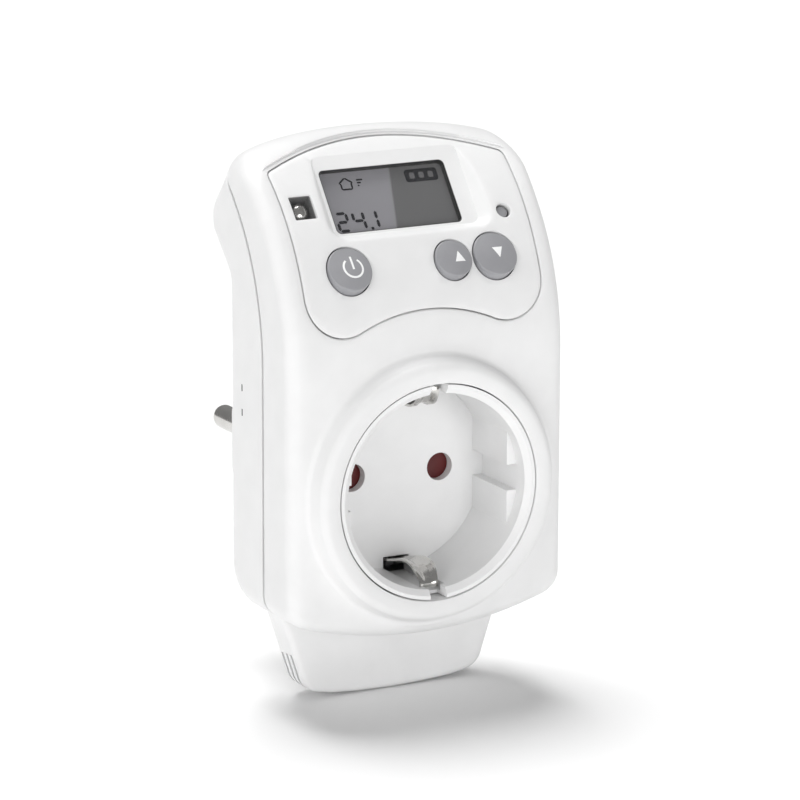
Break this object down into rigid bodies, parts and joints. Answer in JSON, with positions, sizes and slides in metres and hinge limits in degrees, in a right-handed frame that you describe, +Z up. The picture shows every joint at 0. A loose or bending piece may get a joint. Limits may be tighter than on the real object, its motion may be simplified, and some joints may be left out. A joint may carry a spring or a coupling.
{
  "type": "plug-in mains control adapter",
  "caption": "Plug-in mains unit: earthed round-pin plug behind, shuttered socket in front, tilted display head with keys, and a vented sensor foot.",
  "frame": {"origin": "centre of the plug's nose face, on the common axis of plug and socket", "axes": "+X to the right seen from the front, +Y out of the plug's nose into the wall, +Z up"},
  "size_m": [0.0592, 0.0745, 0.1095],
  "materials": {
    "housing_white": "satin",
    "panel_white": "satin",
    "insert_white": "satin",
    "key_grey": "satin",
    "clear_plastic": "clear",
    "display_grey": "satin",
    "shutter_red": "satin",
    "nickel": "bright",
    "brass": "bright",
    "steel": "zinc plated",
    "board_green": "solder mask",
    "black_plastic": "matt",
    "relay_blue": "satin",
    "capacitor_yellow": "satin",
    "varistor_blue": "coated",
    "fuse_ceramic": "glazed",
    "strip_rubber": "matt",
    "sensor_bead": "resin",
    "lead_grey": "matt",
    "lead_brown": "matt"
  },
  "bodies": {
    "housing": {"front_cover": "housing_white", "rear_cover": "housing_white", "control_panel": "panel_white", "display_window": "clear_plastic", "display_module": "display_grey", "display_holder": "black_plastic", "zebra_strips": "strip_rubber", "lamp_window": "clear_plastic", "indicator_lamp": "nickel", "tact_switches": "black_plastic", "display_board": "board_green", "control_chip": "black_plastic", "backup_cell": "steel", "link_pins": "brass", "power_board": "board_green", "relay": "relay_blue", "mains_capacitor": "capacitor_yellow", "smoothing_capacitor": "black_plastic", "varistor": "varistor_blue", "fuse": "fuse_ceramic", "socket_insert": "insert_white", "shutter_spring": "steel", "shutter_retainer": "insert_white", "earth_bracket": "nickel", "live_contact": "brass", "neutral_contact": "brass", "contact_insulator": "lead_grey", "plug_base": "housing_white", "live_pin": "nickel", "neutral_pin": "nickel", "plug_earth_contacts": "nickel", "temperature_sensor": "sensor_bead", "sensor_leads": "lead_grey", "mains_leads": "lead_brown", "housing_screws": "steel", "board_screws": "steel"},
    "power_key": {"power_button": "key_grey"},
    "up_key": {"up_button": "key_grey"},
    "down_key": {"down_button": "key_grey"},
    "reset_key": {"reset_button": "key_grey"},
    "shutter": {"shutter": "shutter_red"}
  },
  "joints": [
    {"name": "power_press", "type": "slide", "parent": "housing", "child": "power_key", "axis": [0, 0.7869, -0.617], "range_m": [0, 0.0006], "stiffness_N_per_m": 900},
    {"name": "up_press", "type": "slide", "parent": "housing", "child": "up_key", "axis": [0, 0.7869, -0.617], "range_m": [0, 0.0006], "stiffness_N_per_m": 900},
    {"name": "down_press", "type": "slide", "parent": "housing", "child": "down_key", "axis": [0, 0.7869, -0.617], "range_m": [0, 0.0006], "stiffness_N_per_m": 900},
    {"name": "reset_press", "type": "slide", "parent": "housing", "child": "reset_key", "axis": [0, 0.7869, -0.617], "range_m": [0, 0.0006], "stiffness_N_per_m": 900},
    {"name": "shutter_turn", "type": "hinge", "parent": "housing", "child": "shutter", "pos_m": [0, -0.0352, 0], "axis": [0, 1, 0], "range_deg": [0, 42], "stiffness_Nm_per_rad": 0.01}
  ]
}
